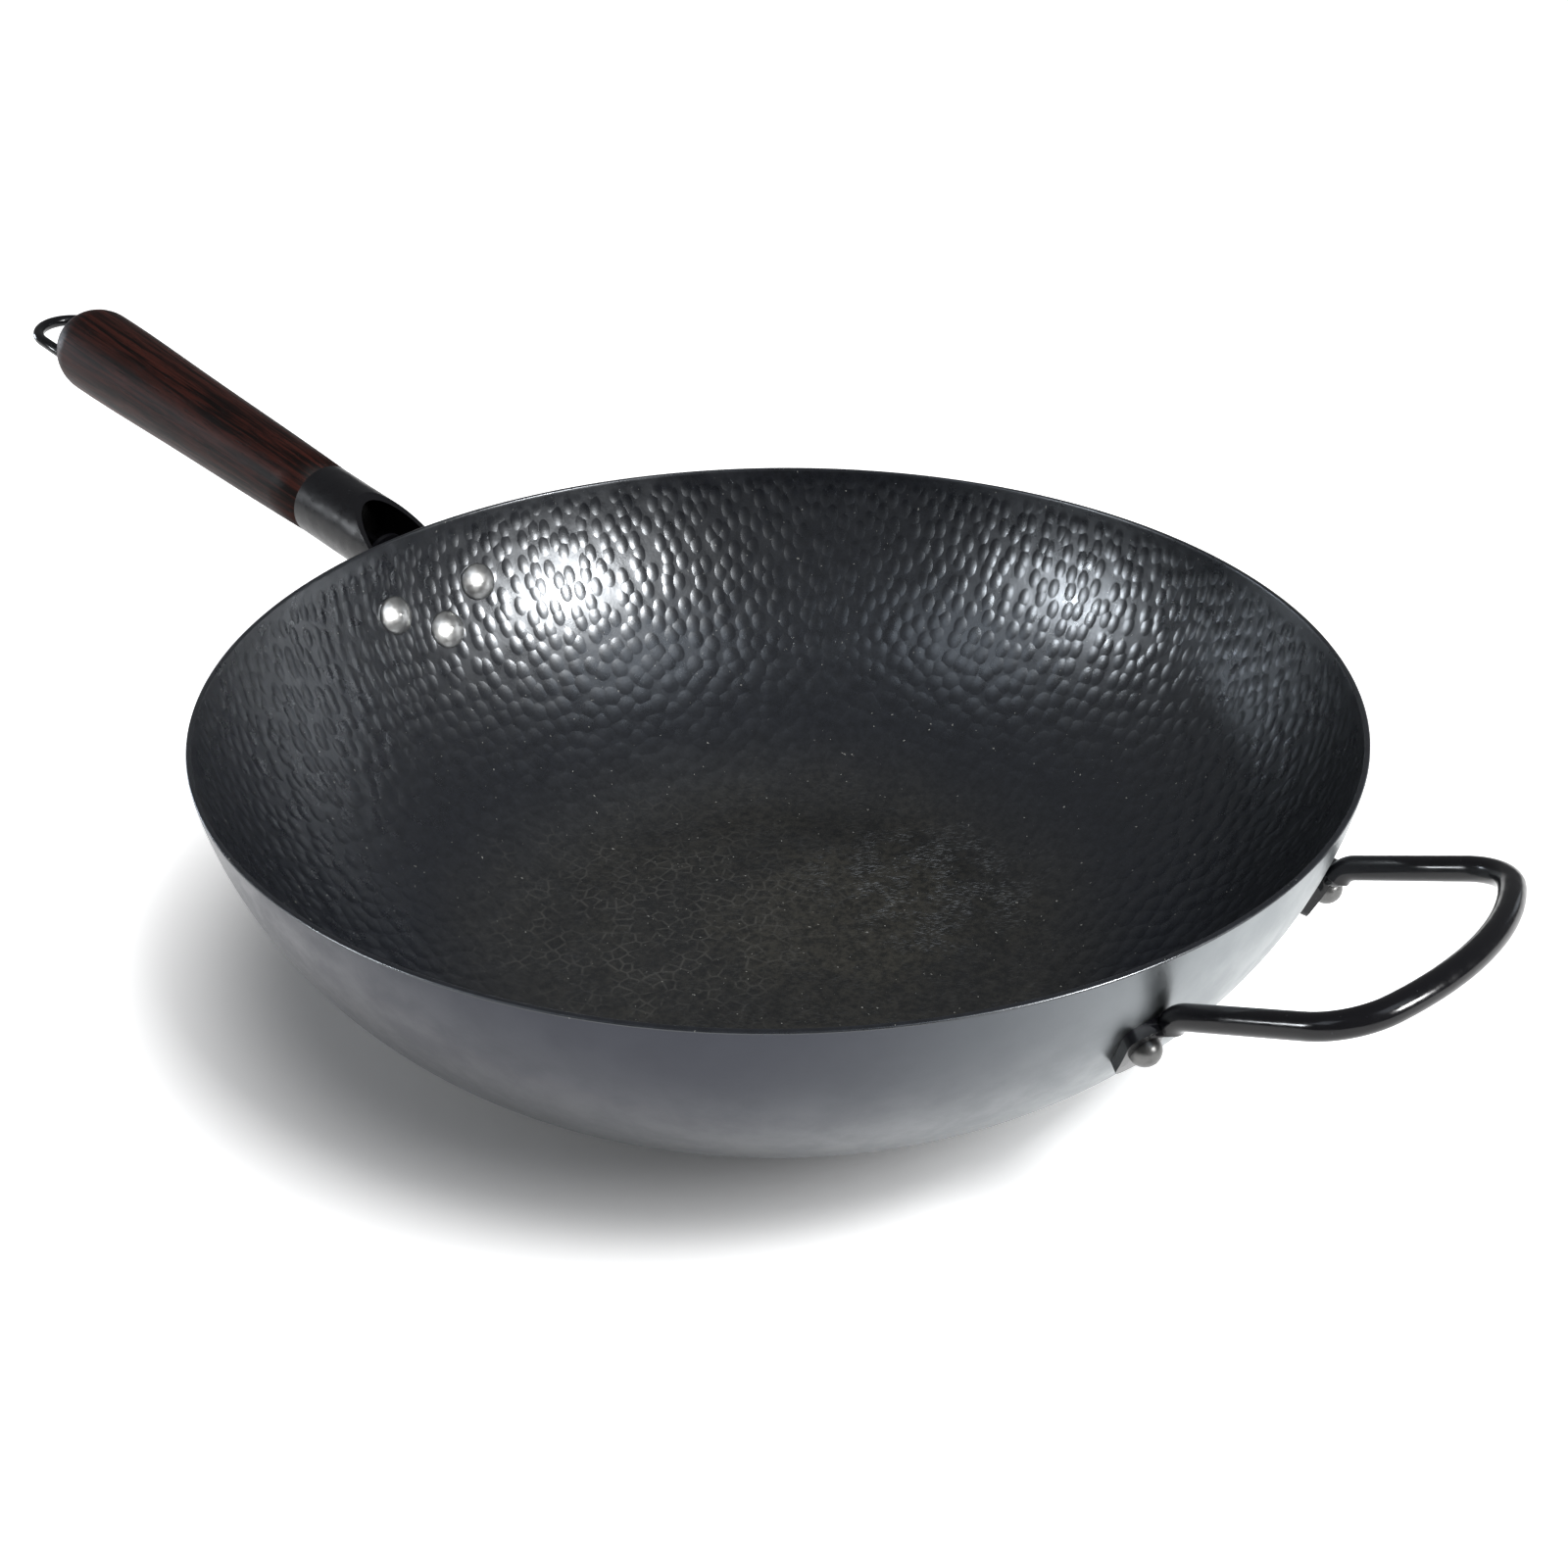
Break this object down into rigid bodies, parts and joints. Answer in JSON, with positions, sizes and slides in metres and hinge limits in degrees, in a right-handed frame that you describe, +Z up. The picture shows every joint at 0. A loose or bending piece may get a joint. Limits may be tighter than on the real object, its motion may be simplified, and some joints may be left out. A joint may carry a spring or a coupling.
{
  "type": "wok",
  "caption": "Round-sided carbon steel wok with a flat base, a riveted socket bracket holding a turned wooden grip with a hanging loop, and a bent rod helper handle.",
  "frame": {"origin": "centre of the flat base's underside, where the wok stands", "axes": "+X along the long wooden handle, +Z up out of the bowl"},
  "size_m": [0.5831, 0.3198, 0.1302],
  "materials": {
    "blued_steel": "blue-black oxidised steel, hammered inside, satin outside",
    "black_bracket": "gloss black",
    "bright_rivet": "polished",
    "dark_wood": "dark red-brown, lacquered",
    "screw_steel": "blackened",
    "black_wire": "gloss black",
    "black_rod": "gloss black"
  },
  "bodies": {
    "root": {"bowl": "blued_steel", "handle_bracket": "black_bracket", "handle_rivets": "bright_rivet", "wood_grip": "dark_wood", "grip_screw": "screw_steel", "hanging_loop": "black_wire", "helper_handle": "black_rod", "helper_rivets": "bright_rivet"}
  },
  "joints": []
}
